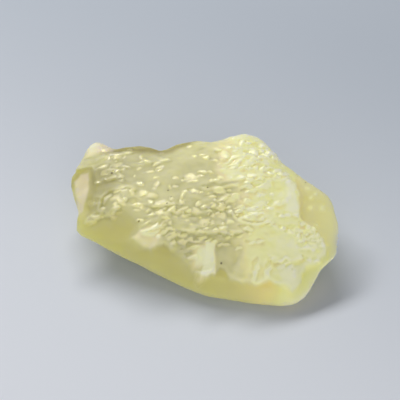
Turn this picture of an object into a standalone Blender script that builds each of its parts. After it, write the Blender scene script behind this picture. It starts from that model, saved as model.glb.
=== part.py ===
"""Raw Libyan desert glass: a pale yellow chip of natural silica glass, worn by wind and sand.

One natural piece, so one solid. Lengths below are millimetres; Blender gets metres.
X runs along the longest side, Y across it, and Z up. The origin is the centre of the base.
"""

import math

import bmesh
import bpy
import numpy as np
from mathutils import Vector, noise

MM = 0.001

# The axis that the rings go round, in plan.
AXIS = (-6.4, -1.3)

# The shoulder: the line where the top turns down into the sides, anticlockwise from the back left horn.
SHOULDER = [
    (-18.4, 13.5, 8.8),  # the horn at the back left
    (-19.2, 10.1, 8.8),
    (-19.9, 7.9, 8.5),
    (-20.9, 7.3, 8.2),
    (-21.4, 6.4, 7.9),  # the left lobe
    (-20.8, 4.4, 7.6),
    (-19.9, 2.0, 7.1),
    (-19.3, 0.2, 6.7),
    (-19.5, -1.9, 6.3),  # the left tip
    (-17.2, -3.9, 6.1),
    (-14.0, -5.9, 6.0),
    (-10.6, -6.8, 6.8),
    (-8.0, -7.9, 6.6),
    (-5.5, -8.4, 6.2),
    (-2.3, -9.8, 5.7),
    (0.5, -11.3, 5.1),
    (4.5, -12.2, 4.5),
    (7.1, -12.9, 4.3),
    (10.8, -13.0, 4.0),
    (13.9, -12.6, 3.7),  # the front right corner
    (15.8, -11.1, 4.1),
    (18.2, -9.0, 5.1),
    (20.7, -7.3, 5.9),
    (21.3, -5.7, 6.7),  # the right tip
    (21.1, -3.7, 7.3),
    (20.6, -1.5, 8.1),
    (20.5, 0.4, 8.6),
    (19.4, 2.1, 9.2),
    (17.6, 3.2, 9.6),
    (15.9, 4.8, 10.0),
    (14.2, 6.8, 10.3),
    (12.3, 7.9, 10.8),
    (10.5, 10.6, 11.1),
    (8.9, 12.4, 11.4),
    (7.3, 12.7, 11.6),  # the highest corner, at the back
    (4.6, 11.9, 11.6),
    (1.4, 11.2, 11.3),
    (-1.9, 11.8, 10.8),
    (-4.1, 11.2, 10.6),
    (-6.2, 10.2, 10.2),
    (-8.4, 11.2, 10.1),
    (-11.6, 11.7, 9.8),
    (-14.9, 11.5, 9.4),
    (-15.9, 13.4, 9.1),
]

# The rim: the widest line of the sides, low along the front and half way down the back.
RIM = [
    (-17.4, 14.1, 5.5),
    (-19.5, 10.4, 6.0),
    (-20.8, 6.7, 6.5),
    (-20.0, 3.2, 6.0),
    (-19.3, -0.3, 5.8),
    (-19.8, -3.6, 5.9),
    (-17.5, -4.8, 5.4),
    (-14.4, -6.4, 4.8),
    (-10.6, -7.9, 4.0),
    (-6.9, -9.6, 3.2),
    (-3.3, -11.3, 2.4),
    (0.5, -12.8, 1.7),
    (4.1, -13.3, 1.3),
    (8.1, -13.8, 1.1),
    (12.9, -14.5, 1.1),
    (14.6, -14.2, 1.3),
    (16.1, -13.3, 1.9),
    (17.2, -11.9, 3.2),
    (18.3, -10.0, 4.4),
    (19.6, -9.1, 5.0),
    (21.5, -7.4, 6.0),
    (21.4, -4.6, 6.0),
    (21.0, -0.9, 6.0),
    (19.5, 3.0, 5.6),
    (16.2, 6.3, 5.4),
    (13.2, 9.5, 5.6),
    (10.0, 13.3, 5.4),
    (6.1, 14.2, 5.0),
    (1.4, 13.3, 4.8),
    (-2.9, 13.3, 4.4),
    (-7.4, 12.6, 4.6),
    (-12.4, 13.1, 5.0),
]

# The keel: the line where the sides turn under to the base.
KEEL = [
    (-14.4, 9.7, 1.9),
    (-16.4, 3.7, 2.6),
    (-15.8, -1.8, 2.9),
    (-10.4, -5.3, 1.6),
    (-4.4, -8.8, 0.6),
    (2.6, -11.5, 0.1),
    (9.6, -12.5, 0.0),
    (13.6, -10.8, 0.5),
    (15.3, -6.1, 1.1),
    (15.4, -1.0, 1.2),
    (12.4, 3.8, 0.8),
    (7.6, 9.4, 0.8),
    (0.6, 9.7, 0.8),
    (-7.4, 10.2, 1.3),
]
UNDERSIDE_DEPTH = -1.2  # the middle of the underside, before the base is cut flat at height 0

# Heights of the top inside the shoulder.
TOP = [
    (-16.2, 8.5, 9.7),
    (-15.9, 3.4, 9.0),
    (-18.1, 2.3, 7.9),
    (-13.3, -0.9, 8.9),
    (-15.5, -2.9, 7.3),
    (-10.8, -4.2, 8.0),
    (-7.8, -4.7, 8.5),
    (-7.9, -0.4, 9.5),
    (-8.1, 5.7, 10.1),
    (0.5, -7.6, 7.3),
    (0.5, -3.9, 8.7),
    (0.5, 1.4, 9.9),
    (0.5, 7.0, 11.0),
    (7.2, -9.8, 6.1),
    (7.2, -7.0, 7.6),
    (7.3, -3.1, 9.0),
    (7.5, 2.1, 10.3),
    (6.9, 7.8, 11.4),
    (14.3, -9.3, 5.5),
    (14.3, -6.5, 7.1),
    (14.5, -2.6, 8.5),
    (13.7, 1.7, 9.6),
    (17.8, -6.3, 6.6),
    (17.7, -3.3, 7.6),
    (17.6, -0.6, 8.6),
]

# How far from the top's middle (0) to the underside's middle (1) each ring lies.
SHOULDER_AT = 0.42
RIM_AT = 0.56
KEEL_AT = 0.68
FRONT_FULLNESS = 0.25  # how far the front swells between shoulder and rim: 0 is straight, 1 a quarter round

# The etched layer on the top: its scalloped edge in plan, anticlockwise, with tongues down to the front.
ETCHED_EDGE = [
    (-24.0, 16.0),
    (-24.0, 9.0),
    (-17.6, 7.2),
    (-16.9, 4.5),
    (-16.6, 1.0),
    (-17.0, -1.2),
    (-17.9, -2.3),
    (-16.8, -2.9),
    (-15.3, -2.3),
    (-14.0, -2.6),
    (-13.0, -1.9),
    (-11.4, -2.6),
    (-9.9, -3.9),
    (-9.6, -5.0),
    (-10.8, -6.1),  # the fan
    (-9.8, -7.0),
    (-7.6, -7.9),
    (-5.8, -7.3),
    (-4.4, -7.9),
    (-3.0, -7.0),
    (-1.4, -7.4),
    (-0.1, -7.6),
    (-0.2, -9.2),  # the narrow tongue
    (-0.8, -11.1),
    (0.6, -11.7),
    (1.9, -11.4),
    (2.2, -7.7),
    (3.9, -7.0),
    (5.6, -7.5),
    (5.2, -10.0),  # the first of three broad lobes
    (4.2, -11.9),
    (5.6, -12.5),
    (7.6, -12.8),
    (9.9, -12.2),
    (11.6, -12.6),
    (13.4, -12.8),
    (14.8, -11.6),
    (15.5, -9.9),
    (17.5, -9.2),
    (18.8, -8.0),
    (19.3, -6.7),
    (18.6, -4.9),
    (17.2, -3.6),
    (15.6, -3.2),
    (15.4, 1.0),
    (14.2, 4.2),
    (12.4, 7.8),
    (10.4, 11.6),
    (9.8, 16.0),
]
ETCHED_RISE = 0.34
ETCHED_SLOPE = 0.45  # half the width over which the layer's edge falls

# Ledges on the top: height, how far the high side runs back, and the line, whose high side is on its left.
LEDGES = [
    (0.30, 1.8, [(-17.6, -2.5), (-15.2, -2.0), (-14.0, -2.2), (-12.9, -1.6)]),
    (0.32, 1.6, [(-15.7, -1.0), (-15.3, 0.4), (-14.5, 1.5), (-12.4, 2.1), (-10.6, 1.6)]),
    (0.25, 2.0, [(-8.6, -1.3), (-6.6, -1.8), (-4.4, -1.7), (-2.6, -2.4), (-0.8, -3.0), (1.0, -2.7)]),
    (0.38, 2.6, [(-2.6, -5.7), (-1.0, -6.1), (1.0, -6.3), (2.6, -6.0), (4.2, -6.3), (5.8, -6.0)]),
    (0.30, 2.2, [(0.4, 1.8), (3.0, 1.8), (5.2, 2.2), (8.0, 2.6), (10.4, 3.2), (12.8, 3.7)]),
    (0.40, 2.4, [(15.2, -3.2), (15.3, -1.0), (15.2, 1.4), (13.9, 4.2)]),
    (0.34, 1.6, [(10.4, -9.6), (12.2, -9.8), (13.6, -9.5), (14.9, -9.0)]),
    (0.30, 1.6, [(16.6, -7.5), (15.2, -6.8), (14.0, -5.8), (12.8, -5.2), (11.2, -4.7)]),
    (0.30, 1.5, [(-16.6, 8.4), (-15.0, 9.0), (-13.0, 9.2), (-11.2, 9.9)]),
    (0.28, 1.6, [(-9.4, 6.6), (-7.4, 6.9), (-5.0, 7.4)]),
    (0.26, 1.4, [(-16.4, 3.6), (-14.4, 3.9), (-12.4, 3.7)]),
]
LEDGE_SLOPE = 0.38 # half the width of a ledge's scarp

# Curved ripples left by the breaking shock, round one point of the top: their radii, and where they run.
SHOCK_CENTRE = (8.0, -0.6)
SHOCK_RADII = (1.9, 3.2, 4.4)
SHOCK_HEIGHT = 0.22
SHOCK_REACH = 1.2  # how far each ripple's high side runs inwards
SHOCK_FACING = 255  # the side of the ripples' middle, in degrees
SHOCK_SPREAD = 75

# Lumps on the top that stand out by themselves: place in plan, radius and height.
LUMPS = [
    (-14.0, 5.2, 1.5, 0.40),
    (-12.0, 6.8, 0.9, 0.20),
    (-16.1, 11.3, 1.0, 0.28),
    (-13.2, -1.3, 0.7, 0.28),
    (-12.0, 0.5, 0.8, 0.25),
    (-9.5, 2.9, 1.0, 0.22),
    (-8.4, 7.6, 1.0, 0.24),
    (-6.4, -6.7, 0.9, 0.30),
    (-4.5, -7.1, 0.8, 0.30),
    (-1.9, -6.5, 0.9, 0.26),
    (2.9, -1.6, 1.1, 0.32),
    (3.6, 6.6, 1.2, 0.26),
    (4.6, 9.0, 1.3, 0.26),
    (6.6, 7.2, 1.1, 0.26),
    (6.5, 11.0, 1.0, 0.24),
    (7.6, -11.2, 1.2, 0.26),
    (13.2, -11.2, 1.5, 0.30),
    (13.6, -7.8, 1.7, 0.30),
    (17.6, -7.0, 1.1, 0.28),
    (17.0, -4.6, 0.8, 0.24),
    (17.1, -0.8, 0.7, 0.20),
    (18.4, -0.7, 0.7, 0.20),
    (16.6, 2.0, 0.8, 0.20),
]
# Long low bumps at the right of the top, in rows a wave apart.
ROW_CENTRE = (9.6, 6.2)
ROW_REACH = (3.6, 5.0)
ROW_WAVE = 1.5
ROW_LEAN = 0.18
ROW_HEIGHT = 0.14
BUMP_LENGTH = 7.0  # a wave along a row; each row's bumps start at a different place
BUMP_START = 2.1
BUMP_SHARE = 0.25  # how much a row's height changes along it

# How far the relief's lines wander from their named places, and over what length.
WANDER = 0.55
WANDER_LENGTH = 2.4

# What wind and sand leave all over: size of the swells, and height on the etched top, the back and elsewhere.
SWELLS = [(7.5, 0.1, 0.7, 0.12), (4.0, 0.22, 0.5, 0.1), (2.0, 0.17, 0.24, 0.05)]
NORMAL_PASSES = 8  # how often the normals are evened out before the relief is added along them

# Hollows that flakes left when they broke away: centre and radius of the ball that each one follows.
FLAKE_SCARS = [
    ((-23.6, 3.4, 15.7), 9.2),  # the pale facet at the left
    ((-11.9, 20.2, 3.6), 8.4),  # four on the back
    ((-2.6, 21.6, 8.4), 9.6),
    ((4.6, 21.8, 1.4), 9.4),
    ((19.8, 13.4, 3.0), 9.0),
    ((-25.6, -6.4, -1.8), 9.2),  # under the left tip
    ((24.8, -3.8, -1.6), 9.2),  # under the right tip
]
# Pits on the back and the sides: place, radius and depth.
PITS = [
    ((-14.6, 12.9, 6.8), 0.9, 0.4),
    ((-7.0, 12.6, 7.4), 1.1, 0.45),
    ((-3.6, 13.2, 3.2), 1.3, 0.5),
    ((4.8, 13.6, 7.2), 1.0, 0.4),
    ((12.6, 9.6, 7.6), 1.2, 0.45),
    ((17.4, 4.8, 7.0), 0.9, 0.4),
    ((-20.2, 3.2, 5.0), 1.0, 0.4),
]

# How the mesh is made: even quads of this size, rounded, then thinned to about this many triangles.
SPHERE_SUBDIVISIONS = 6
SPLINE_STEPS = 12
VOXEL = 0.33
ROUNDING_PASSES = 7
ARRIS_PASSES = 2  # rounds the edges of the flake scars
RELIEF_PASSES = 1
TRIANGLES = 9400

GLASS_COLOUR = (0.62, 0.56, 0.22, 1.0)
GLASS_ROUGHNESS = 0.35


def clear_scene():
    for obj in list(bpy.data.objects):
        bpy.data.objects.remove(obj)


def closed_curve(points):
    """Points along a smooth closed curve through the given ones (Catmull-Rom)."""
    p1 = np.array(points, float)
    p0, p2, p3 = np.roll(p1, 1, 0), np.roll(p1, -1, 0), np.roll(p1, -2, 0)
    spans = []
    for t in np.linspace(0, 1, SPLINE_STEPS, endpoint=False):
        spans.append(
            p1
            + 0.5 * t * (p2 - p0)
            + t**2 * (p0 - 2.5 * p1 + 2 * p2 - 0.5 * p3)
            + t**3 * (-0.5 * p0 + 1.5 * p1 - 1.5 * p2 + 0.5 * p3)
        )
    return np.stack(spans, axis=1).reshape(-1, 3)


def ring_at(points, azimuth):
    """Where the ring through these points lies at each azimuth round the axis."""
    curve = closed_curve(points)
    turn = np.arctan2(curve[:, 1] - AXIS[1], curve[:, 0] - AXIS[0])
    order = np.argsort(turn)
    coordinates = [np.interp(azimuth, turn[order], curve[order, k], period=2 * math.pi) for k in range(3)]
    return np.stack(coordinates, axis=-1)


class Sheet:
    """A thin plate bent through given points: its height at any place in plan."""

    def __init__(self, points):
        known = np.array(points, float)
        self.xy = known[:, :2]
        n = len(known)
        system = np.zeros((n + 3, n + 3))
        system[:n, :n] = self.bending(self.xy)
        system[:n, n] = system[n, :n] = 1
        system[:n, n + 1 :] = self.xy
        system[n + 1 :, :n] = self.xy.T
        self.weights = np.linalg.solve(system, np.append(known[:, 2], [0, 0, 0]))

    def bending(self, xy):
        square = ((xy[:, None] - self.xy[None]) ** 2).sum(-1)
        return 0.5 * square * np.log(square + 1e-12)

    def height(self, xy):
        n = len(self.xy)
        return self.bending(xy) @ self.weights[:n] + self.weights[n] + xy @ self.weights[n + 1 :]


def between(low, high, share):
    return low + (high - low) * share[:, None]


def base_form(directions):
    """Moves points of a unit sphere out to the stone: top, shoulder, rim, keel, underside."""
    azimuth = np.arctan2(directions[:, 1], directions[:, 0])
    way = np.arccos(np.clip(directions[:, 2], -1, 1)) / math.pi
    shoulder = ring_at(SHOULDER, azimuth)
    rim = ring_at(RIM, azimuth)
    keel = ring_at(KEEL, azimuth)
    axis = np.array(AXIS)

    sheet = Sheet(TOP + SHOULDER[::2])
    share = way / SHOULDER_AT
    top = np.empty_like(shoulder)
    top[:, :2] = axis + share[:, None] * (shoulder[:, :2] - axis)
    top[:, 2] = sheet.height(top[:, :2]) + (shoulder[:, 2] - sheet.height(shoulder[:, :2])) * share**4

    share = (way - SHOULDER_AT) / (RIM_AT - SHOULDER_AT)
    side = between(shoulder, rim, share)
    fullness = FRONT_FULLNESS * np.clip(-np.sin(azimuth), 0, 1)
    quarter = 0.5 * math.pi * np.clip(share, 0, 1)
    side[:, :2] += (fullness * (np.sin(quarter) - share))[:, None] * (rim - shoulder)[:, :2]
    side[:, 2] += fullness * (1 - np.cos(quarter) - share) * (rim - shoulder)[:, 2]

    bilge = between(rim, keel, (way - RIM_AT) / (KEEL_AT - RIM_AT))
    middle = np.broadcast_to([AXIS[0], AXIS[1], UNDERSIDE_DEPTH], shoulder.shape)
    underside = between(keel, middle, (way - KEEL_AT) / (1 - KEEL_AT))
    zones = [(way < limit)[:, None] for limit in (SHOULDER_AT, RIM_AT, KEEL_AT)]
    return np.select(zones, [top, side, bilge], underside)


def smooth_step(low, high, value):
    share = np.clip((value - low) / (high - low), 0, 1)
    return share * share * (3 - 2 * share)


def beside_line(xy, line, closed=False):
    """Distance from a line in plan, positive on its left, and whether each place is past its ends."""
    corners = np.array(line, float)
    ends = np.roll(corners, -1, 0) if closed else corners[1:]
    starts = corners if closed else corners[:-1]
    along = ends - starts
    offset = xy[:, None] - starts[None]
    share = (offset * along).sum(-1) / (along**2).sum(-1)
    nearest = offset - np.clip(share, 0, 1)[..., None] * along
    distance = np.sqrt((nearest**2).sum(-1))
    pick = distance.argmin(1)
    rows = np.arange(len(xy))
    turn = along[None, :, 0] * offset[..., 1] - along[None, :, 1] * offset[..., 0]
    beyond = np.maximum(share[:, -1] - 1, -share[:, 0]) > 0
    return np.where(turn[rows, pick] > 0, 1, -1) * distance[rows, pick], beyond


def inside(xy, outline):
    """Whether each place in plan is within a closed outline: a ray from it crosses an odd number of sides."""
    corners = np.array(outline, float)
    odd = np.zeros(len(xy), bool)
    for (ax, ay), (bx, by) in zip(corners, np.roll(corners, -1, 0)):
        if ay == by:
            continue
        spans = (ay > xy[:, 1]) != (by > xy[:, 1])
        odd ^= spans & (xy[:, 0] < ax + (xy[:, 1] - ay) / (by - ay) * (bx - ax))
    return odd


def etched_share(xy):
    """1 on the etched layer of the top, 0 off it."""
    distance = np.abs(beside_line(xy, ETCHED_EDGE, closed=True)[0])
    return smooth_step(-ETCHED_SLOPE, ETCHED_SLOPE, np.where(inside(xy, ETCHED_EDGE), distance, -distance))


def ledge(xy, height, reach, line):
    """A scarp along the line; the high side runs back down to nothing over its reach."""
    distance, beyond = beside_line(xy, line)
    rise = smooth_step(-LEDGE_SLOPE, LEDGE_SLOPE, distance)
    fall = 1 - smooth_step(0, reach, np.abs(distance))
    return height * rise * fall * np.where(beyond, fall**3, 1)


def shock_ripples(xy):
    """Curved ledges round the shock's centre, each higher on its inner side."""
    offset = xy - np.array(SHOCK_CENTRE)
    radius = np.sqrt((offset**2).sum(-1))
    turn = np.degrees(np.arctan2(offset[:, 1], offset[:, 0])) - SHOCK_FACING
    turn = np.abs((turn + 180) % 360 - 180)
    height = np.zeros(len(xy))
    for ring in SHOCK_RADII:
        inward = ring - radius
        height += smooth_step(-LEDGE_SLOPE, LEDGE_SLOPE, inward) * (1 - smooth_step(0, SHOCK_REACH, inward))
    return SHOCK_HEIGHT * height * (1 - smooth_step(0.6 * SHOCK_SPREAD, SHOCK_SPREAD, turn))


def rows_of_bumps(xy):
    """Long bumps side by side, which lean down to the right."""
    offset = (xy - np.array(ROW_CENTRE)) / np.array(ROW_REACH)
    zone = 1 - smooth_step(0.5, 1.0, np.sqrt((offset**2).sum(-1)))
    across = (xy[:, 1] + ROW_LEAN * xy[:, 0]) / ROW_WAVE
    along = np.sin(2 * math.pi * xy[:, 0] / BUMP_LENGTH + BUMP_START * np.round(across))
    return ROW_HEIGHT * zone * np.cos(2 * math.pi * across) * (1 - BUMP_SHARE + BUMP_SHARE * along)


def swell(points, size):
    """Smooth waves of this size, about -1 to 1."""
    return np.array([noise.noise(Vector(point) / size) for point in points])


def wandered(points):
    """The points' places in plan, shifted a little so that lines drawn there wander."""
    shifts = [noise.noise_vector(Vector(point) / WANDER_LENGTH)[:2] for point in points]
    return points[:, :2] + WANDER * np.array(shifts)


def relief(points, normals):
    """How far the surface stands out along its normal at each point."""
    xy = wandered(points)
    up = smooth_step(0.15, 0.5, normals[:, 2])
    back = smooth_step(0.1, 0.7, normals[:, 1]) * (1 - up)
    etched = etched_share(xy) * up
    height = ETCHED_RISE * etched
    for ledge_height, reach, line in LEDGES:
        height += up * ledge(xy, ledge_height, reach, line)
    height += up * (shock_ripples(xy) + rows_of_bumps(xy))
    for x, y, radius, lump_height in LUMPS:
        distance = np.hypot(xy[:, 0] - x, xy[:, 1] - y)
        height += up * lump_height * (1 - smooth_step(0, radius, distance))
    for size, on_etched, on_back, elsewhere in SWELLS:
        share = elsewhere + (on_etched - elsewhere) * etched + (on_back - elsewhere) * back
        height += swell(points, size) * share
    for place, radius, depth in PITS:
        distance = np.sqrt(((points - np.array(place)) ** 2).sum(-1))
        height -= depth * (1 - smooth_step(0.3 * radius, radius, distance))
    return height


def points_of(mesh):
    points = np.empty(len(mesh.vertices) * 3)
    mesh.vertices.foreach_get("co", points)
    return points.reshape(-1, 3)


def set_points(mesh, points):
    mesh.vertices.foreach_set("co", points.ravel())
    mesh.update()


def apply_modifiers(obj):
    """Replaces the object's mesh by what its modifiers make of it."""
    graph = bpy.context.evaluated_depsgraph_get()
    made = bpy.data.meshes.new_from_object(obj.evaluated_get(graph))
    obj.modifiers.clear()
    obj.data = made


def smoothed(obj, passes):
    smooth = obj.modifiers.new("worn edges", "SMOOTH")
    smooth.iterations = passes
    apply_modifiers(obj)


def rough_stone():
    bpy.ops.mesh.primitive_ico_sphere_add(subdivisions=SPHERE_SUBDIVISIONS, radius=1)
    stone = bpy.context.object
    set_points(stone.data, base_form(points_of(stone.data)) * MM)
    remesh = stone.modifiers.new("even mesh", "REMESH")
    remesh.mode = "VOXEL"
    remesh.voxel_size = VOXEL * MM
    smoothed(stone, ROUNDING_PASSES)
    return stone


def break_off_flakes(stone):
    """Pushes what lies within each scar's ball back to the ball's surface."""
    points = points_of(stone.data) / MM
    for centre, radius in FLAKE_SCARS:
        offset = points - np.array(centre)
        distance = np.sqrt((offset**2).sum(-1))[:, None]
        points = np.where(distance < radius, np.array(centre) + offset * radius / distance, points)
    set_points(stone.data, points * MM)
    smoothed(stone, ARRIS_PASSES)


def even_normals(mesh):
    """The vertices' normals, each averaged with its neighbours' so that edges turn gently."""
    normals = np.empty(len(mesh.vertices) * 3)
    mesh.vertices.foreach_get("normal", normals)
    normals = normals.reshape(-1, 3)
    edges = np.empty(len(mesh.edges) * 2, int)
    mesh.edges.foreach_get("vertices", edges)
    start, end = edges.reshape(-1, 2).T
    for _ in range(NORMAL_PASSES):
        total = normals.copy()
        np.add.at(total, start, normals[end])
        np.add.at(total, end, normals[start])
        normals = total / np.linalg.norm(total, axis=1, keepdims=True)
    return normals


def etch(stone):
    """Adds the relief that etching, wind and sand left."""
    normals = even_normals(stone.data)
    points = points_of(stone.data) / MM
    set_points(stone.data, (points + normals * relief(points, normals)[:, None]) * MM)
    smoothed(stone, RELIEF_PASSES)


def thin_out(stone):
    """Fewer triangles where the surface is plain."""
    stone.data.calc_loop_triangles()
    decimate = stone.modifiers.new("fewer triangles", "DECIMATE")
    decimate.ratio = TRIANGLES / len(stone.data.loop_triangles)
    apply_modifiers(stone)


def cut_base(stone):
    """Cuts the underside flat at height 0, where the stone rests."""
    bm = bmesh.new()
    bm.from_mesh(stone.data)
    cut = bmesh.ops.bisect_plane(
        bm,
        geom=bm.verts[:] + bm.edges[:] + bm.faces[:],
        plane_co=(0, 0, 0),
        plane_no=(0, 0, -1),
        clear_outer=True,
    )
    rim = [item for item in cut["geom_cut"] if isinstance(item, bmesh.types.BMEdge)]
    bmesh.ops.edgenet_fill(bm, edges=rim)
    bmesh.ops.recalc_face_normals(bm, faces=bm.faces[:])
    bm.to_mesh(stone.data)
    bm.free()


def centre_on_base(stone):
    points = points_of(stone.data)
    low, high = points.min(0), points.max(0)
    shift = -(low + high) / 2
    shift[2] = -low[2]
    set_points(stone.data, points + shift)


def glass_material():
    material = bpy.data.materials.new("desert_glass")
    material.use_nodes = True
    shader = material.node_tree.nodes["Principled BSDF"]
    shader.inputs["Base Color"].default_value = GLASS_COLOUR
    shader.inputs["Roughness"].default_value = GLASS_ROUGHNESS
    shader.inputs["Metallic"].default_value = 0.0
    return material


def main():
    clear_scene()
    stone = rough_stone()
    break_off_flakes(stone)
    etch(stone)
    thin_out(stone)
    cut_base(stone)
    centre_on_base(stone)
    stone.name = "desert_glass"
    stone.data.name = "desert_glass"
    stone.data.materials.clear()
    stone.data.materials.append(glass_material())
    stone.data.shade_smooth()
    collection = bpy.data.collections.new("libyan_desert_glass")
    bpy.context.scene.collection.children.link(collection)
    for other in list(stone.users_collection):
        other.objects.unlink(stone)
    collection.objects.link(stone)


main()
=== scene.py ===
"""Raw Libyan desert glass: the fine etched surface, the waxy glass, the floor, the lights and the camera.

Lengths in the lists below are millimetres in the model's frame; Blender gets metres.
"""

import math

import bmesh
import bpy
import numpy as np
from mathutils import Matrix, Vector, noise


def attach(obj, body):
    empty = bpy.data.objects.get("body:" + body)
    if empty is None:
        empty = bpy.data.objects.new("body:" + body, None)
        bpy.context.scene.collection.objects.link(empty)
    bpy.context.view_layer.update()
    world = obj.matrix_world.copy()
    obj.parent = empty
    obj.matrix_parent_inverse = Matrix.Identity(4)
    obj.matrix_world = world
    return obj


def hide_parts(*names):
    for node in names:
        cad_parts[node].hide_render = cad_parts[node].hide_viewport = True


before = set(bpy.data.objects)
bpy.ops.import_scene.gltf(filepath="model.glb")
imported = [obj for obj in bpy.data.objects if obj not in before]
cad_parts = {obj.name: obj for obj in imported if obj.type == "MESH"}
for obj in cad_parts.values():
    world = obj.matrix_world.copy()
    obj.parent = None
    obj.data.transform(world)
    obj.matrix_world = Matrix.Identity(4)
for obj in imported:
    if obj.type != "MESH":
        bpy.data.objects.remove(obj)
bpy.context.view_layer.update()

MM = 0.001

# The fine mesh that replaces the plain solid.
VOXEL = 0.255  # halved on the etched top
FACET_PASSES = 9  # smooths away the plain solid's triangles
FINE_PASSES = 4  # evens out the halved faces
NORMAL_PASSES = 11  # averages the directions in which the relief stands out
TOP_FACING = 0.35  # faces that point up more than this are the top, which is halved
TOP_FADE = (0.15, 0.5)  # the top's relief fades in as the surface points up between these
BASE_CLEARANCE = 0.5  # the relief fades out over this height above the base

# The etched layer's scalloped edge on the top, in plan.
ETCHED_EDGE = [
    (-24.0, 16.0), (-24.0, 9.0), (-17.6, 7.2), (-16.9, 4.5), (-16.6, 1.0), (-17.0, -1.2), (-17.9, -2.3),
    (-16.8, -2.9), (-15.3, -2.3), (-14.0, -2.6), (-13.0, -1.9), (-11.4, -2.6), (-9.9, -3.9), (-9.6, -5.0),
    (-10.8, -6.1), (-9.8, -7.0), (-7.6, -7.9), (-5.8, -7.3), (-4.8, -8.0), (-3.4, -8.6), (-2.4, -9.6),
    (-1.4, -10.6), (-0.6, -11.4), (0.6, -11.7), (1.9, -11.4), (2.6, -10.4), (3.3, -10.6), (4.2, -11.9),
    (5.6, -12.5), (7.6, -12.8), (9.9, -12.2), (11.6, -12.6), (13.4, -12.8), (14.8, -11.6), (15.5, -9.9),
    (17.4, -9.2), (18.6, -8.0), (18.8, -6.9), (17.9, -5.3), (16.9, -4.2), (15.6, -3.2), (14.8, -2.6),
    (14.7, 1.4), (14.6, 4.4), (12.6, 7.4), (10.4, 11.2), (9.8, 16.0),
]
ETCHED_LIP = 0.08
ETCHED_SLOPE = 0.3  # half width of its soft edge
FADING_SLOPE = 1.3  # how much wider that is where the edge fades away
# Where it fades away: place, half sizes, amount.
FADING = [((-14.0, -1.0), (8.0, 8.0), 1.0), ((-2.6, -9.8), (3.0, 2.6), 0.7), ((14.6, 4.0), (2.4, 7.0), 0.8)]

# Ledges on the top: lip height, line. The high side is on the left of the line, or on its right where the
# height is negative.
LEDGES = [
    (0.05, [(-17.6, -2.5), (-15.2, -2.0), (-14.0, -2.2), (-12.9, -1.6)]),
    (0.05, [(-15.7, -1.0), (-15.3, 0.4), (-14.5, 1.5), (-12.4, 2.1), (-10.6, 1.6)]),
    (0.03, [(-8.6, -1.3), (-6.6, -1.8), (-4.4, -1.7), (-2.6, -2.4), (-0.8, -3.0), (1.0, -2.7)]),
    (0.06, [(-2.6, -5.7), (-1.0, -6.1), (1.0, -6.3), (2.6, -6.0), (4.2, -6.3), (5.8, -6.0)]),
    (-0.05, [(0.4, 1.8), (3.0, 1.8), (5.2, 2.2), (8.0, 2.6), (10.4, 3.2), (12.8, 3.7)]),
    (0.02, [(15.0, -2.8), (14.9, -1.0), (14.9, 1.4), (14.7, 4.2)]),
    (0.06, [(10.4, -9.6), (12.2, -9.8), (13.6, -9.5), (14.9, -9.0)]),
    (0.03, [(16.6, -7.5), (15.2, -6.8), (14.0, -5.8), (12.8, -5.2), (11.2, -4.7)]),
    (0.015, [(-16.6, 8.4), (-15.0, 9.0), (-13.0, 9.2), (-11.2, 9.9)]),
    (0.015, [(-9.4, 6.6), (-7.4, 6.9), (-5.0, 7.4)]),
    (0.015, [(-16.4, 3.6), (-14.4, 3.9), (-12.4, 3.7)]),
]
LIP_WIDTH = 0.28
LEDGE_BOLDNESS = 2.2  # times the heights above
LEDGE_FADE = 0.6  # a ledge fades away over this length past its ends

WANDER_SEED = 5  # the lines and patches drawn on the top wander by this noise
SEED = 7
# Bumps and hollows scattered over the etched top, most where they crowd: how many, half lengths, half
# widths, heights.
BROAD_BUMPS = (90, (0.60, 1.40), (0.30, 0.62), (0.00, 0.05))
SMALL_BUMPS = (180, (0.25, 0.65), (0.16, 0.29), (0.01, 0.05))
HOLLOWS = (160, (0.50, 1.20), (0.28, 0.50), (-0.05, -0.02))
SCATTER_REACH = (19, 13)  # half sizes of the area where places are tried
TRIES = 12  # for each one wanted
SPARSE = 0.14  # share of the tries kept where no patch crowds them
SMALL_BIAS = 1.5  # over 1, so that small ones are commoner than large ones
TURN = -4  # they lie nearly along the X axis: degrees, and the usual spread
TURN_SPREAD = 17
# Every bump is worn to a small facet, and the facets all face nearly the same way: how far they lean along
# X and Y.
FACING = (-0.20, -0.06)
FACING_SPREAD = 0.06
BUMP_SHARE = 0.5  # the single bumps rise by this share of their heights below
MOST_LIFT = 0.10  # no facet rises or cuts much more than this
# How polished the facets are also sets their painted glint, a paler colour on each.
BROAD_SHINE = 0.75  # how polished the facets are
SMALL_SHINE = 0.8
SINGLE_SHINE = 0.9
SHINE_SPREAD = (0.6, 1.1)
MOST_SHINE = 0.92

# Soft rise and fall of the whole top: wave size, height, place in the noise. The smooth parts keep a share.
SWELLS = [(3.6, 0.14, 11.3), (1.7, 0.06, 16.4), (0.8, 0.02, 21.5)]
SWELL_STRETCH = (1.3, 0.9, 1)
SMOOTH_SHARE = 0.15
# The rough back, in the same way.
ROUGH_WAVES = [(1.4, 0.12, 6.6), (0.7, 0.05, 1.7)]

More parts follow.
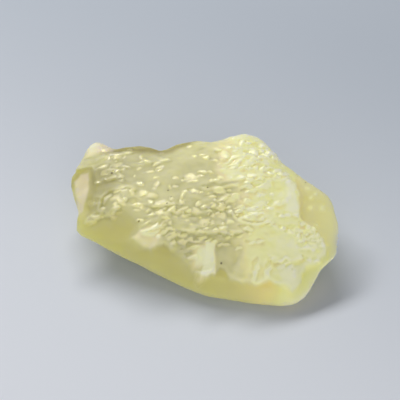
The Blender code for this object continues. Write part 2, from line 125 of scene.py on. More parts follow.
# Single bumps on the top, with a glint on each: place, half length, half width, turn in degrees, height.
BUMPS = [
    ((-15.9, 11.2), 0.6, 0.4, 0, 0.14), ((-14.4, 9.4), 0.7, 0.3, -40, 0.14),
    ((-13.5, 9.4), 0.6, 0.3, 0, 0.14), ((-15.0, 8.7), 0.9, 0.3, 35, 0.14),
    ((-15.8, 6.7), 0.8, 0.4, 10, 0.14), ((-15.2, 5.4), 0.6, 0.5, 0, 0.14),
    ((-14.2, 6.0), 0.7, 0.4, 0, 0.14), ((-13.4, 5.6), 0.5, 0.4, 0, 0.14),
    ((-12.9, 4.6), 0.7, 0.4, -50, 0.12), ((-12.0, 6.5), 0.6, 0.35, -15, 0.14),
    ((-11.9, 9.7), 0.6, 0.3, 15, 0.12), ((-9.8, 8.7), 0.5, 0.3, -60, 0.12),
    ((-8.7, 7.6), 0.7, 0.4, -45, 0.14), ((-9.6, 2.8), 0.6, 0.4, -10, 0.14),
    ((-10.9, 1.4), 0.8, 0.3, -60, 0.14), ((-12.6, 1.8), 0.9, 0.3, 10, 0.14),
    ((-12.0, -0.2), 0.4, 0.3, 0, 0.14), ((-13.2, -0.8), 0.4, 0.3, 0, 0.12),
    ((-13.3, 0.7), 0.4, 0.3, 20, 0.14), ((-14.6, 0.8), 1.0, 0.3, 60, 0.16),
    ((-13.4, -2.2), 0.5, 0.4, 0, 0.14), ((-15.2, -1.0), 0.6, 0.3, 30, 0.12),
    ((-9.4, -1.4), 0.8, 0.3, -50, 0.12), ((-6.0, 7.7), 0.8, 0.35, 5, 0.16),
    ((-7.1, 7.2), 0.5, 0.3, 20, 0.14), ((-8.3, 5.3), 0.8, 0.25, 5, 0.12),
    ((-6.9, 5.9), 0.6, 0.25, 10, 0.12), ((-7.2, 4.1), 0.4, 0.25, 0, 0.12),
    ((-7.0, 2.8), 0.7, 0.4, 85, 0.12), ((-4.9, 2.1), 0.5, 0.25, -60, 0.16),
    ((-4.2, 2.3), 0.5, 0.25, -10, 0.14), ((-4.2, 3.8), 0.4, 0.25, -20, 0.10),
    ((-2.9, 3.3), 0.3, 0.25, 0, 0.12), ((-1.2, 3.2), 0.5, 0.3, -10, 0.12),
    ((-2.6, 1.3), 0.4, 0.25, 0, 0.14), ((-3.0, 0.6), 0.5, 0.25, 50, 0.12),
    ((-0.2, 0.9), 0.3, 0.25, 0, 0.12), ((0.7, 7.5), 0.4, 0.35, 0, 0.18), ((0.2, 8.3), 0.4, 0.25, 0, 0.12),
    ((-1.2, 8.2), 0.4, 0.25, 0, 0.12), ((-2.0, 10.4), 0.4, 0.3, 0, 0.14), ((0.2, 4.8), 0.6, 0.3, 0, 0.12),
    ((1.2, 4.7), 0.4, 0.25, -30, 0.12), ((-0.2, 4.0), 0.5, 0.25, 0, 0.10),
    ((1.4, 2.9), 0.4, 0.3, 0, 0.12), ((2.2, 3.0), 0.5, 0.25, 0, 0.12), ((1.7, 0.1), 0.9, 0.22, 0, 0.16),
    ((2.1, -0.5), 0.4, 0.25, 0, 0.14), ((-3.1, -1.0), 0.4, 0.3, 0, 0.12),
    ((-5.5, -1.5), 0.6, 0.3, -30, 0.14), ((-7.8, -1.0), 0.6, 0.3, -40, 0.14),
    ((0.3, -1.6), 0.4, 0.35, 0, 0.14), ((-0.6, -1.2), 0.4, 0.5, 0, 0.14),
    ((6.4, 10.5), 0.5, 0.5, 0, 0.12), ((2.5, 9.1), 0.8, 0.3, -45, 0.14), ((4.4, 9.3), 0.6, 0.3, 20, 0.12),
    ((9.3, 7.6), 0.9, 0.3, 0, 0.18), ((9.6, 8.7), 0.6, 0.25, 0, 0.16), ((11.3, 7.8), 1.0, 0.35, -5, 0.18),
    ((10.4, 5.6), 0.8, 0.25, -5, 0.16), ((8.6, 5.3), 0.8, 0.3, 0, 0.14), ((9.0, 3.1), 0.8, 0.3, 0, 0.16),
    ((10.6, 4.4), 0.8, 0.25, -5, 0.16), ((7.2, 1.0), 1.1, 0.3, 5, 0.18), ((8.8, 0.4), 0.7, 0.3, 0, 0.16),
    ((10.7, 0.5), 0.4, 0.35, 0, 0.20), ((4.5, -0.2), 0.6, 0.3, 0, 0.14),
    ((12.4, -0.6), 0.6, 0.4, 20, 0.16), ((13.4, 3.2), 0.5, 0.35, 0, 0.16),
    ((14.5, -2.7), 0.4, 0.3, 30, 0.16), ((12.8, -2.8), 0.6, 0.4, 0, 0.14),
    ((16.6, 2.5), 0.35, 0.3, 0, 0.24), ((17.7, 1.6), 0.3, 0.35, 0, 0.24),
    ((18.6, -0.7), 0.35, 0.6, 0, 0.24), ((16.8, -0.7), 0.4, 0.35, 0, 0.22),
    ((14.8, 1.0), 0.25, 0.6, 0, 0.12), ((15.4, 5.3), 0.5, 0.3, 0, 0.12),
    ((12.1, -4.8), 0.5, 0.3, 0, 0.18), ((13.2, -5.0), 0.4, 0.3, 0, 0.18),
    ((14.0, -5.7), 0.5, 0.3, -40, 0.18), ((15.2, -6.4), 0.5, 0.3, -30, 0.18),
    ((16.1, -7.0), 0.5, 0.3, -30, 0.18), ((15.0, -3.9), 0.4, 0.3, 0, 0.16),
    ((16.0, -4.3), 0.5, 0.3, -20, 0.18), ((17.0, -4.6), 0.4, 0.3, 0, 0.16),
    ((17.5, -5.4), 0.3, 0.5, 0, 0.14), ((17.9, -6.8), 0.5, 0.4, 40, 0.14),
    ((2.9, -1.6), 0.8, 0.6, 0, 0.16), ((-17.0, -2.3), 0.7, 0.3, 5, 0.14),
    ((-15.2, -1.9), 0.3, 0.25, 0, 0.12), ((-13.2, -1.3), 0.5, 0.35, 0, 0.12),
    ((-6.4, -6.6), 0.4, 0.35, 0, 0.14), ((-5.2, -5.4), 0.3, 0.4, 0, 0.14),
    ((-4.9, -4.2), 0.3, 0.4, 0, 0.14), ((-4.4, -7.1), 0.4, 0.35, 0, 0.14),
    ((-1.9, -6.6), 0.6, 0.3, -25, 0.16), ((-0.3, -6.7), 0.6, 0.3, 0, 0.16),
    ((0.9, -6.8), 0.5, 0.3, 0, 0.16), ((1.9, -7.0), 0.4, 0.3, -30, 0.14),
    ((17.3, 3.4), 0.25, 0.35, 0, 0.22), ((16.9, 0.9), 0.3, 0.3, 0, 0.22),
    ((17.4, -3.6), 0.35, 0.25, 0, 0.22), ((7.9, -10.8), 1.3, 0.40, 78, 0.08),
    ((9.8, -10.6), 1.2, 0.35, 74, 0.08),
]

# Curved ripples round one point of the top, within some degrees of one direction.
SHOCK_CENTRE = (8.0, -0.6)
SHOCK_RADII = (1.1, 1.9, 2.6, 3.3, 4.0)
SHOCK_FACING = 255
SHOCK_SPREAD = 65
SHOCK_HEIGHT = 0.10
SHOCK_WIDTH = 0.2

# Patches of the top where bumps crowd (positive) or are few (negative): place, half sizes, amount.
BUMP_PATCHES = [
    ((-14.0, 5.4), (2.8, 2.2), 0.3),
    ((-13.4, 0.8), (3.2, 2.2), 0.1),
    ((-13.5, 9.6), (3.2, 1.6), 0.3),
    ((-6.4, 7.3), (3.4, 1.3), 0.5),
    ((8.6, 6.0), (4.6, 5.0), 0.9),
    ((4.6, 8.0), (2.6, 3.6), 0.6),
    ((2.5, -2.4), (9.5, 3.4), 1.0),
    ((-5.0, -3.4), (4.6, 3.6), 0.5),
    ((0.5, -6.6), (6.0, 1.3), 0.9),
    ((15.4, -5.6), (3.0, 2.2), 0.9),
    ((17.2, 0.5), (1.8, 3.2), 0.5),
    ((13.4, -8.6), (3.4, 2.4), 0.3),
    ((8.0, -9.6), (2.6, 2.0), -0.3),
    ((-2.6, 7.6), (2.9, 2.6), -1.0),
    ((-7.5, 3.6), (2.6, 1.8), -0.4),
    ((3.2, -9.6), (2.8, 1.9), -1.0),
    ((13.8, 0.4), (1.3, 3.4), -1.0),
    ((12.6, -7.8), (2.4, 1.4), -0.6),
]

# Smooth flats on the top, a little raised and painted paler than the rest, a painted sheen where they catch
# the light: sheen, rise, edge width, outline.
FLATS = [
    (0.85, 0.02, 0.7, [(-1.0, -7.5), (1.8, -7.5), (1.8, -10.6), (-1.2, -10.2)]),
    (0.9, 0.05, 0.2, [(0.5, -7.3), (2.0, -7.3), (1.95, -11.2), (0.8, -11.5), (-0.2, -11.4), (0.3, -10.0)]),
    (0.5, 0.05, 0.4, [(-10.3, -6.2), (-8.7, -7.3), (-7.0, -7.6), (-6.2, -6.8), (-6.2, -4.5), (-9.0, -5.2)]),
    (0.5, 0.06, 0.7,
     [(12.0, -10.0), (14.1, -10.0), (14.4, -11.4), (13.6, -12.4), (12.0, -12.3), (11.4, -11.2)]),
    (0.3, 0.04, 0.6, [(11.4, -6.6), (14.6, -6.6), (15.2, -8.8), (12.2, -9.2), (10.8, -8.2)]),
    (0.0, 0.05, 0.5, [(6.2, -8.4), (10.3, -8.2), (10.2, -11.8), (7.4, -12.5), (5.4, -12.2), (4.5, -11.6)]),
    (0.2, 0.04, 0.4, [(15.7, -9.0), (18.2, -8.4), (18.9, -6.7), (17.4, -6.2)]),
    (0.75, 0.04, 0.4, [(13.2, 3.2), (14.7, 3.4), (14.6, 0.6), (14.7, -2.2), (14.0, -2.8), (12.8, -2.0)]),
    (0.9, 0.00, 0.9, [(-18.6, 10.2), (-14.6, 11.0), (-14.0, 13.6), (-18.6, 13.6)]),
    (0.3, 0.00, 1.6, [(2.6, 10.6), (7.4, 10.8), (8.0, 4.4), (5.2, 3.4), (2.8, 4.4)]),
    (0.5, 0.00, 1.0, [(2.4, 6.4), (4.4, 7.0), (6.4, 6.2), (6.6, 3.4), (4.4, 3.0), (2.6, 3.8)]),
    (0.3, 0.00, 1.2, [(5.6, -0.2), (9.4, -0.4), (9.8, -3.4), (6.0, -3.6)]),
]
# The smooth facet at the left end, painted pale: a painted sheen where it catches the light.
LEFT_FACET = [
    (-20.3, 6.0), (-19.4, 6.8), (-18.0, 6.5), (-17.8, 4.2), (-18.0, 2.0), (-18.5, 0.0), (-19.3, -0.5),
    (-19.7, 2.2), (-20.0, 4.2),
]

# Broad stretches painted deeper in colour, more amber or paler: place, half sizes, amount. The deeper ones
# are the glass's own deeper colour along the back rim and painted shade over the left end.
DEEP_AND_SHADE = [
    ((-9.0, 12.1), (9.0, 2.8), 1.0),
    ((-5.0, 11.6), (4.0, 1.6), 0.2),
    ((-16.2, 2.4), (2.8, 5.0), 0.35),
    ((-15.0, 7.6), (7.0, 7.6), 0.2),
    ((-21.5, 6.8), (2.4, 2.4), 0.45),
]
AMBER = [
    ((17.8, 0.0), (6.0, 8.5), 1.0),
]
# Painted glow at the front-right corner, where light comes through, and a painted highlight on the
# back-right rim.
GLOW_PATCHES = [
    ((15.5, -12.5), (4.5, 4.5), 1.0),
    ((15.6, 7.2), (3.0, 3.2), 0.7),
]
# Painted glow: the glass is painted paler to the right, where the light comes through it, along this
# direction in plan and between these two places.
GLOW_DIRECTION = (1.0, 0.1)
GLOW_FROM = 0.5
GLOW_TO = 14.0

# Heights over which the valleys and the narrow creases between bumps are painted dark: painted shade.
CREST_HEIGHT = 0.07
CREASE_DEPTH = 0.05

# Dark grains held in the glass near the top: place, radius.
SPECKS = [
    ((-14.1, 5.0), 0.20), ((-5.2, 1.4), 0.15), ((-4.7, 0.0), 0.13), ((0.9, 1.7), 0.14), ((-5.3, -1.3), 0.13),
    ((2.9, -9.8), 0.15), ((-9.5, -3.9), 0.14), ((-15.4, 12.2), 0.12), ((16.3, 3.6), 0.16),
]


def smooth_step(low, high, value):
    share = np.clip((value - low) / (high - low), 0, 1)
    return share * share * (3 - 2 * share)


def beside_line(xy, line, closed=False):
    """Distance from a line in plan, positive on its left, and how far past its ends each place is."""
    corners = np.array(line, float)
    ends = np.roll(corners, -1, 0) if closed else corners[1:]
    starts = corners if closed else corners[:-1]
    best = np.full(len(xy), np.inf)
    side = np.zeros(len(xy))
    past = np.zeros(len(xy))
    for index, (start, end) in enumerate(zip(starts, ends)):
        along = end - start
        offset = xy - start
        length = np.hypot(*along)
        share = offset @ along / length**2
        away = offset - np.clip(share, 0, 1)[:, None] * along
        distance = np.hypot(away[:, 0], away[:, 1])
        nearer = distance < best
        best[nearer] = distance[nearer]
        side[nearer] = np.sign(along[0] * offset[:, 1] - along[1] * offset[:, 0])[nearer]
        if index == 0:
            past = np.maximum(past, -share * length)
        if index == len(starts) - 1:
            past = np.maximum(past, (share - 1) * length)
    return side * best, past


def inside(xy, outline):
    """Whether each place in plan is in a closed outline: a ray from it crosses an odd number of sides."""
    corners = np.array(outline, float)
    odd = np.zeros(len(xy), bool)
    for (ax, ay), (bx, by) in zip(corners, np.roll(corners, -1, 0)):
        if ay == by:
            continue
        spans = (ay > xy[:, 1]) != (by > xy[:, 1])
        odd ^= spans & (xy[:, 0] < ax + (xy[:, 1] - ay) / (by - ay) * (bx - ax))
    return odd


def depth_within(xy, outline):
    """Distance from a closed outline in plan, positive inside it."""
    distance = np.abs(beside_line(xy, outline, closed=True)[0])
    return np.where(inside(xy, outline), distance, -distance)


def share_within(xy, outline, edge):
    """1 inside a closed outline and 0 outside, with a soft edge of this half width."""
    return smooth_step(-edge, edge, depth_within(xy, outline))


def patches(xy, entries):
    """Sum of soft oval patches in plan."""
    total = np.zeros(len(xy))
    for centre, half, amount in entries:
        reach = np.sqrt((((xy - np.array(centre)) / np.array(half)) ** 2).sum(-1))
        total += amount * (1 - smooth_step(0.55, 1.15, reach))
    return total


def waves(points, size, seed, stretch=(1, 1, 1)):
    """Smooth noise with waves of this size, about -1 to 1."""
    scaled = points / (np.array(stretch) * size) + seed
    return np.array([noise.noise(Vector(point)) for point in scaled])


def wandered(points, amount, length):
    """The points' places in plan, shifted a little so that lines drawn there wander."""
    shifts = [noise.noise_vector(Vector(point) / length)[:2] for point in points]
    return points[:, :2] + amount * np.array(shifts)


def points_of(mesh):
    points = np.empty(len(mesh.vertices) * 3)
    mesh.vertices.foreach_get("co", points)
    return points.reshape(-1, 3)


def apply_modifiers(obj):
    graph = bpy.context.evaluated_depsgraph_get()
    made = bpy.data.meshes.new_from_object(obj.evaluated_get(graph))
    obj.modifiers.clear()
    obj.data = made


def averager(mesh):
    """A function that averages a value on each vertex with its neighbours', any number of times."""
    edges = np.empty(len(mesh.edges) * 2, int)
    mesh.edges.foreach_get("vertices", edges)
    start, end = edges.reshape(-1, 2).T
    count = np.ones(len(mesh.vertices))
    np.add.at(count, start, 1)
    np.add.at(count, end, 1)

    def average(values, passes):
        for _ in range(passes):
            total = values.copy()
            np.add.at(total, start, values[end])
            np.add.at(total, end, values[start])
            values = total / (count if values.ndim == 1 else count[:, None])
        return values

    return average


def smooth_copy(node):
    """The plain solid as an even fine mesh with its triangles smoothed away."""
    shape = bmesh.new()
    shape.from_mesh(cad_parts[node].data)
    bmesh.ops.remove_doubles(shape, verts=shape.verts[:], dist=0.001 * MM)
    mesh = bpy.data.meshes.new("stone")
    shape.to_mesh(mesh)
    shape.free()
    stone = bpy.data.objects.new("stone", mesh)
    bpy.context.scene.collection.objects.link(stone)
    remesh = stone.modifiers.new("fine mesh", "REMESH")
    remesh.mode = "VOXEL"
    remesh.voxel_size = VOXEL * MM
    smooth = stone.modifiers.new("no facets", "SMOOTH")
    smooth.iterations = FACET_PASSES
    apply_modifiers(stone)
    return stone


def bump_reach(xy, centre, half_length, half_width, turn):
    """Which vertices lie near a long bump, and how far out on it each one is: 1 at its edge."""
    near = np.nonzero(np.abs(xy - np.array(centre)).max(-1) < 1.8 * half_length)[0]
    offset = xy[near] - np.array(centre)
    along = np.array([math.cos(math.radians(turn)), math.sin(math.radians(turn))])
    across = np.array([-along[1], along[0]])
    return near, np.hypot(offset @ along / half_length, offset @ across / half_width)


def scattered(random, entry):
    """Random places on the etched top, most where they crowd, each with half sizes, turn and height."""
    count, lengths, widths, heights = entry
    reach = np.array(SCATTER_REACH)
    tries = random.uniform(-reach, reach, (count * TRIES, 2))
    share = (SPARSE + patches(tries, BUMP_PATCHES)) * inside(tries, ETCHED_EDGE)
    kept = tries[random.random(len(tries)) < share][:count]
    for place in kept:
        size = random.random() ** SMALL_BIAS
        half_length = lengths[0] + (lengths[1] - lengths[0]) * size
        half_width = widths[0] + (widths[1] - widths[0]) * size
        yield place, half_length, half_width, random.normal(TURN, TURN_SPREAD), random.uniform(*heights)


def worn_bumps(points):
    """How far each vertex of the top rises to its bump's worn facet, and how polished it is, 0 to 1, which
    also sets its painted glint.
    """
    random = np.random.default_rng(SEED)
    xy = points[:, :2]
    loose = wandered(points, 0.3, 0.9)
    lift = np.zeros(len(points))
    worn = np.zeros(len(points))
    polish_and_glint = np.zeros(len(points))
    bumps = [(*bump, BROAD_SHINE) for bump in scattered(random, BROAD_BUMPS)]
    bumps += [(*bump, SMALL_SHINE) for bump in scattered(random, SMALL_BUMPS)]
    bumps += [(*bump[:4], BUMP_SHARE * bump[4], SINGLE_SHINE) for bump in BUMPS]
    for centre, half_length, half_width, turn, height, shine in bumps:
        near, reach = bump_reach(loose, centre, half_length, half_width, turn)
        if not len(near):
            continue
        middle = points[near[reach.argmin()], 2]
        tilt = random.normal(FACING, FACING_SPREAD)
        facet = middle + height - (xy[near] - np.array(centre)) @ tilt
        share = 1 - smooth_step(0.5, 1.5, reach)
        more = share > worn[near]
        lift[near[more]] = (share * (facet - points[near, 2]))[more]
        polish_and_glint[near[more]] = (share * shine * random.uniform(*SHINE_SPREAD))[more]
        worn[near[more]] = share[more]
    return MOST_LIFT * np.tanh(lift / MOST_LIFT), np.clip(polish_and_glint, 0, MOST_SHINE)


def hollows(xy):
    """Depth of the scattered hollows, below 0."""
    height = np.zeros(len(xy))
    for centre, half_length, half_width, turn, depth in scattered(np.random.default_rng(SEED + 1), HOLLOWS):
        near, reach = bump_reach(xy, centre, half_length, half_width, turn)
        height[near] = np.minimum(height[near], depth * np.exp(-1.2 * reach**2))
    return height


def refine_top(mesh):
    """Halves the faces of the etched top and evens them out."""
    shape = bmesh.new()
    shape.from_mesh(mesh)
    shape.normal_update()
    faces = [face for face in shape.faces if face.normal.z > TOP_FACING]
    centres = np.array([face.calc_center_median()[:2] for face in faces]) / MM
    chosen = [face for face, keep in zip(faces, inside(centres, ETCHED_EDGE)) if keep]
    edges = list(dict.fromkeys(edge for face in chosen for edge in face.edges))
    bmesh.ops.subdivide_edges(shape, edges=edges, cuts=1, use_grid_fill=True)
    for _ in range(FINE_PASSES):
        bmesh.ops.smooth_vert(
            shape,
            verts=shape.verts,
            factor=0.5,
            use_axis_x=True,
            use_axis_y=True,
            use_axis_z=True,
        )
    shape.to_mesh(mesh)
    shape.free()


def shock_ripples(xy):
    offset = xy - np.array(SHOCK_CENTRE)
    radius = np.hypot(offset[:, 0], offset[:, 1])
    turn = np.degrees(np.arctan2(offset[:, 1], offset[:, 0])) - SHOCK_FACING
    turn = np.abs((turn + 180) % 360 - 180)
    height = np.zeros(len(xy))
    for ring in SHOCK_RADII:
        height += np.exp(-(((radius - ring) / SHOCK_WIDTH) ** 2))
    return SHOCK_HEIGHT * height * (1 - smooth_step(0.5 * SHOCK_SPREAD, SHOCK_SPREAD, turn))


def lip(distance):
    """The rise and fall across a ledge, at this distance from its line."""
    return distance / LIP_WIDTH * np.exp(-0.5 * (distance / LIP_WIDTH) ** 2)


def fine_relief(points, normals, up):
    """How far the fine surface stands out from the smoothed solid, where it is etched, and where sheen is
    painted on its flats.
    """
    xy = wandered(points, 0.3, 1.8)
    within = depth_within(xy, ETCHED_EDGE)
    crisp = 1 - np.clip(patches(xy, FADING), 0, 1)
    etched = smooth_step(-1, 1, within / (ETCHED_SLOPE + FADING_SLOPE * (1 - crisp))) * up
    height = ETCHED_LIP * crisp * up * lip(within)
    for rise, line in LEDGES:
        distance, past = beside_line(xy, line)
        height += LEDGE_BOLDNESS * rise * up * lip(distance) * np.exp(-((past / LEDGE_FADE) ** 2))
    height += up * shock_ripples(xy)

    swelling = up * (SMOOTH_SHARE + (1 - SMOOTH_SHARE) * etched)
    for size, swell, seed in SWELLS:
        height += swell * waves(points, size, seed, SWELL_STRETCH) * swelling
    height += etched * hollows(points[:, :2])

    rough = (1 - up) * smooth_step(-0.2, 0.4, normals[:, 1])
    for size, swell, seed in ROUGH_WAVES:
        height += rough * swell * waves(points, size, seed)

    flat_sheen = np.zeros(len(points))
    loose = wandered(points, 0.15, 1.4)
    for sheen_share, rise, edge, outline in FLATS:
        within = share_within(loose, outline, edge) * up
        height += rise * within
        flat_sheen = np.maximum(flat_sheen, sheen_share * within)
    facet = share_within(loose, LEFT_FACET, 0.25)
    return height, {"etched": etched, "flat_sheen": flat_sheen, "facet": facet}


def colour_masks(points):
    """How much each vertex is painted darker, amber, paler or specked, 0 to 1: darker for the glass's deeper
    colour and painted shade, paler for painted glow and highlight.
    """
    xy = wandered(points, 1.2, 4.0)
    speck = np.zeros(len(points))
    for place, radius in SPECKS:
        reach = np.hypot(*(points[:, :2] - np.array(place)).T) / radius
        speck = np.maximum(speck, 1 - smooth_step(0.5, 1.3, reach))
    return {
        "deep_and_shade": np.clip(patches(xy, DEEP_AND_SHADE), 0, 1),
        "amber": np.clip(patches(xy, AMBER), 0, 1),
        "pale": np.clip(patches(xy, GLOW_PATCHES), 0, 1),
        "painted_glow": smooth_step(GLOW_FROM, GLOW_TO, xy @ np.array(GLOW_DIRECTION)),
        "speck": speck,
    }


def fine_surface(stone):
    """Gives the stone its relief, and writes the masks that its finish reads."""
    refine_top(stone.data)
    mesh = stone.data
    average = averager(mesh)
    normals = np.empty(len(mesh.vertices) * 3)
    mesh.vertices.foreach_get("normal", normals)
    normals = average(normals.reshape(-1, 3), NORMAL_PASSES)
    normals /= np.linalg.norm(normals, axis=1, keepdims=True)
    points = points_of(mesh) / MM
    up = smooth_step(*TOP_FADE, normals[:, 2])
    height, masks = fine_relief(points, normals, up)
    height *= smooth_step(0, BASE_CLEARANCE, points[:, 2])
    points += normals * height[:, None]
    masks["polish_and_glint"] = np.zeros(len(points))
    top = up > 0
    lift, masks["polish_and_glint"][top] = worn_bumps(points[top])
    points[top, 2] += lift * up[top]
    height[top] += lift * up[top]
    points[:, 2] = np.maximum(points[:, 2], 0)
    mesh.vertices.foreach_set("co", (points * MM).ravel())
    mesh.update()
    # Where the valleys and creases lie, for the painted shade there.
    masks["crest"] = np.clip(0.5 + (average(height, 2) - average(height, 30)) / CREST_HEIGHT, 0, 1)
    masks["crease_shade"] = np.clip((average(height, 6) - average(height, 1)) / CREASE_DEPTH, 0, 1)
    masks.update(colour_masks(points))
    masks["speck"] *= up
    for name, values in masks.items():
        mesh.attributes.new(name, "FLOAT", "POINT").data.foreach_set("value", values.astype(np.float32))
    mesh.shade_smooth()


class Value:
    """A node's output in a material: sums and products written on it add Math nodes."""

    def __init__(self, finish, socket):
        self.finish = finish
        self.socket = socket

    def maths(self, operation, first, second):
        return self.finish.add("ShaderNodeMath", {"operation": operation}, {0: first, 1: second})

    def __add__(self, other):
        return self.maths("ADD", self, other)

    __radd__ = __add__

    def __sub__(self, other):
        return self.maths("SUBTRACT", self, other)

    def __rsub__(self, other):
        return self.maths("SUBTRACT", other, self)

    def __mul__(self, other):
        return self.maths("MULTIPLY", self, other)

    __rmul__ = __mul__

    def between(self, low, high):
        """0 at the low value and 1 at the high one, with soft ends."""
        return self.finish.add(
            "ShaderNodeMapRange",
            {"interpolation_type": "SMOOTHSTEP"},
            {"Value": self, "From Min": low, "From Max": high},
        )


class Finish:
    """A material and its nodes. add() makes any node but the shader, which every material has."""

    def __init__(self, name):
        self.material = bpy.data.materials.new(name)
        self.material.use_nodes = True
        self.tree = self.material.node_tree
        self.shader = self.tree.nodes["Principled BSDF"]

    def add(self, kind, settings, sockets, output=0):
        node = self.tree.nodes.new(kind)
        for key, setting in settings.items():
            setattr(node, key, setting)
        self.fill(node, sockets)
        return Value(self, node.outputs[output])

    def fill(self, node, sockets):
        for key, value in sockets.items():
            if isinstance(value, Value):
                self.tree.links.new(value.socket, node.inputs[key])
            else:
                node.inputs[key].default_value = value

    def attribute(self, name):
        return self.add("ShaderNodeAttribute", {"attribute_name": name}, {}, "Fac")

    def mix(self, share, first, second):
        """A colour between two others."""
        return self.add("ShaderNodeMix", {"data_type": "RGBA"}, {0: share, 6: first, 7: second}, 2)

    def tint(self, share, colour, veil):
        """A colour darkened by a veil of another, for painted shade."""
        settings = {"data_type": "RGBA", "blend_type": "MULTIPLY"}
        return self.add("ShaderNodeMix", settings, {0: share, 6: colour, 7: veil}, 2)

    def place(self):
        return self.add("ShaderNodeTexCoord", {}, {}, "Object")

    def noise(self, size, detail):
        """Cloudy noise with patches of this size in metres."""
        sockets = {"Vector": self.place(), "Scale": 1 / size, "Detail": detail}
        return self.add("ShaderNodeTexNoise", {}, sockets)


def rgb(red, green, blue):
    """A colour given as the eye sees it, 0 to 255, as the shader wants it."""
    return tuple(((c / 255 + 0.055) / 1.055) ** 2.4 for c in (red, green, blue)) + (1.0,)


# Colours of the etched top, from the left to the right: paler to the right, a painted glow where the light
# comes through.
ETCHED_LEFT = (0.705, 0.685, 0.43, 1.0)
ETCHED_MIDDLE = (0.84, 0.81, 0.55, 1.0)
ETCHED_RIGHT = (0.94, 0.865, 0.575, 1.0)
FLAT_SHEEN = (0.97, 0.88, 0.73, 1.0)
PAINTED_GLINT = (1.0, 0.95, 0.66, 1.0)
# Painted shade in the valleys and the creases between bumps.
PAINTED_VALLEY_SHADE = (0.83, 0.835, 0.77, 1.0)
PAINTED_CREASE_SHADE = (0.86, 0.86, 0.79, 1.0)
# Colours of the smooth sides, paler to the right and palest at the front-right corner: a painted glow where
# the light comes through.
BAND_LEFT = (0.615, 0.585, 0.265, 1.0)
BAND_RIGHT = (0.82, 0.74, 0.37, 1.0)
BAND_GLOW = (1.0, 0.87, 0.41, 1.0)
# Darker: the glass's deeper colour along the back rim, and painted shade over the left end.
DEEP_GLASS_AND_SHADE = (0.37, 0.33, 0.16, 1.0)
AMBER_GLASS = (0.70, 0.68, 0.395, 1.0)
# Painted sheen on the smooth facet at the left end.
LEFT_FACET_SHEEN = (0.70, 0.65, 0.47, 1.0)
DARK_GRAIN = (0.10, 0.07, 0.03, 1.0)


def desert_glass():
    """Waxy pale yellow glass: honey-coloured in its depth, paler where sand has etched it; its colour also
    carries painted glow, shade, sheen and glints.
    """
    finish = Finish("desert_glass")
    etched = finish.attribute("etched")
    flat_sheen = finish.attribute("flat_sheen")
    crest = finish.attribute("crest")
    polish_and_glint = finish.attribute("polish_and_glint")
    cloud = finish.noise(4.0 * MM, 3.0).between(0.35, 0.65)
    # Painted glow: the top and the band are painted paler towards the right.
    painted_glow = finish.attribute("painted_glow")
    top = finish.mix(painted_glow.between(0.0, 0.6), ETCHED_LEFT, ETCHED_MIDDLE)
    top = finish.mix(painted_glow.between(0.6, 1.0), top, ETCHED_RIGHT)
    band = finish.mix(painted_glow, BAND_LEFT, BAND_RIGHT)
    # Painted glow at the front-right corner and painted highlight on the back-right rim.
    band = finish.mix(finish.attribute("pale"), band, BAND_GLOW)
    body = finish.mix(etched, band, top)
    # Painted darker: the glass's deeper colour along the back rim, and painted shade over the left end.
    body = finish.mix(finish.attribute("deep_and_shade") * (0.8 + 0.2 * cloud), body, DEEP_GLASS_AND_SHADE)
    body = finish.mix(finish.attribute("amber") * (1 - 0.9 * etched), body, AMBER_GLASS)
    # Painted shade: the valleys and the narrow creases between bumps are darkened.
    body = finish.tint(etched * (1 - crest), body, PAINTED_VALLEY_SHADE)
    body = finish.tint(etched * finish.attribute("crease_shade"), body, PAINTED_CREASE_SHADE)
    # Painted glints: the polished facets are painted paler, more so to the right.
    body = finish.mix(polish_and_glint * (0.22 + 0.2 * painted_glow), body, PAINTED_GLINT)
    # Painted sheen on the smooth flats.
    body = finish.mix(flat_sheen * 0.6, body, FLAT_SHEEN)
    # Painted sheen on the smooth facet at the left end.
    body = finish.mix(finish.attribute("facet"), body, LEFT_FACET_SHEEN)
    body = finish.mix(finish.attribute("speck") * 0.8, body, DARK_GRAIN)
    finish.fill(
        finish.shader,
        {
            "Base Color": body,
            "Roughness": 0.36 + 0.20 * etched - 0.46 * polish_and_glint,
            "IOR": 1.46,
            "Specular Tint": (1.0, 0.95, 0.74, 1.0),
            "Subsurface Weight": 1.0,
            "Subsurface Radius": (1.0, 1.0, 0.55),
            "Subsurface Scale": 7.0 * MM,
            "Subsurface Anisotropy": 0.88,
        },
    )
    return finish.material


def floor_finish():
    """A plain pale floor with a painted light falloff: a little darker towards the back and the right."""
    finish = Finish("pale_floor")
    across = finish.add("ShaderNodeSeparateXYZ", {}, {"Vector": finish.place()}, "X")
    back = finish.add("ShaderNodeSeparateXYZ", {}, {"Vector": finish.place()}, "Y")
    # Painted light falloff, darker towards the back and the right.
    far = (back * 0.93 + across * 0.37).between(-0.05, 0.07)
    finish.fill(
        finish.shader,
        {
            "Base Color": finish.mix(far, rgb(231, 235, 243), rgb(187, 195, 206)),
            "Roughness": 0.6,
            "Specular IOR Level": 0.2,
        },
    )
    return finish.material


def add_floor():
    bpy.ops.mesh.primitive_plane_add(size=6)
    floor = bpy.context.object
    floor.name = "floor"
    floor.data.materials.append(floor_finish())


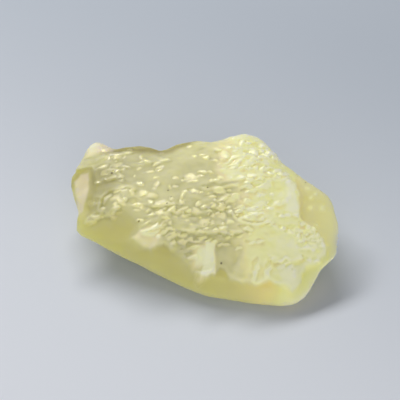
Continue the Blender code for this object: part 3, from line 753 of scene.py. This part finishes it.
def add_light(name, place, size, power, colour):
    """A soft panel that faces the stone."""
    data = bpy.data.lights.new(name, "AREA")
    data.shape = "RECTANGLE"
    data.size, data.size_y = size
    data.energy = power
    data.color = colour
    light = bpy.data.objects.new(name, data)
    light.location = place
    light.rotation_euler = (-Vector(place)).to_track_quat("-Z", "Y").to_euler()
    bpy.context.scene.collection.objects.link(light)


def add_world(colour, strength):
    world = bpy.data.worlds.new("room")
    world.use_nodes = True
    background = world.node_tree.nodes["Background"]
    background.inputs["Color"].default_value = colour
    background.inputs["Strength"].default_value = strength
    bpy.context.scene.world = world


# The camera looks along +Y and down on the stone, at this many degrees.
CAMERA_AIM = (-0.27, 9.47, 0.0)
CAMERA_DISTANCE = 150.0
CAMERA_ELEVATION = 45.0
CAMERA_LENS = 80.0
CAMERA_SENSOR = 36.0


def add_camera():
    data = bpy.data.cameras.new("camera")
    data.lens = CAMERA_LENS
    data.sensor_width = CAMERA_SENSOR
    data.clip_start = 0.001
    camera = bpy.data.objects.new("camera", data)
    elevation = math.radians(CAMERA_ELEVATION)
    back = Vector((0, -math.cos(elevation), math.sin(elevation)))
    camera.location = (Vector(CAMERA_AIM) + CAMERA_DISTANCE * back) * MM
    camera.rotation_euler = (-back).to_track_quat("-Z", "Y").to_euler()
    bpy.context.scene.collection.objects.link(camera)
    bpy.context.scene.camera = camera


def main():
    bpy.context.scene.view_settings.view_transform = "Standard"
    add_camera()
    add_floor()
    add_world((0.92, 0.95, 1.0, 1.0), 0.21)
    add_light("wide panel behind", (-0.165, 0.29, 0.372), (0.50, 0.12), 1.82, (1.0, 0.985, 0.96))
    add_light("card at the right", (0.26, -0.30, 0.05), (0.24, 0.10), 0.42, (1.0, 0.94, 0.87))
    add_light("front fill", (-0.02, -0.48, 0.26), (0.6, 0.4), 0.8, (0.98, 0.99, 1.0))

    noise.seed_set(WANDER_SEED)
    stone = smooth_copy("desert_glass")
    fine_surface(stone)
    stone.name = "etched_stone"
    stone.data.name = "etched_stone"
    stone.data.materials.clear()
    stone.data.materials.append(desert_glass())
    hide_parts("desert_glass")
    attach(stone, "root")


main()
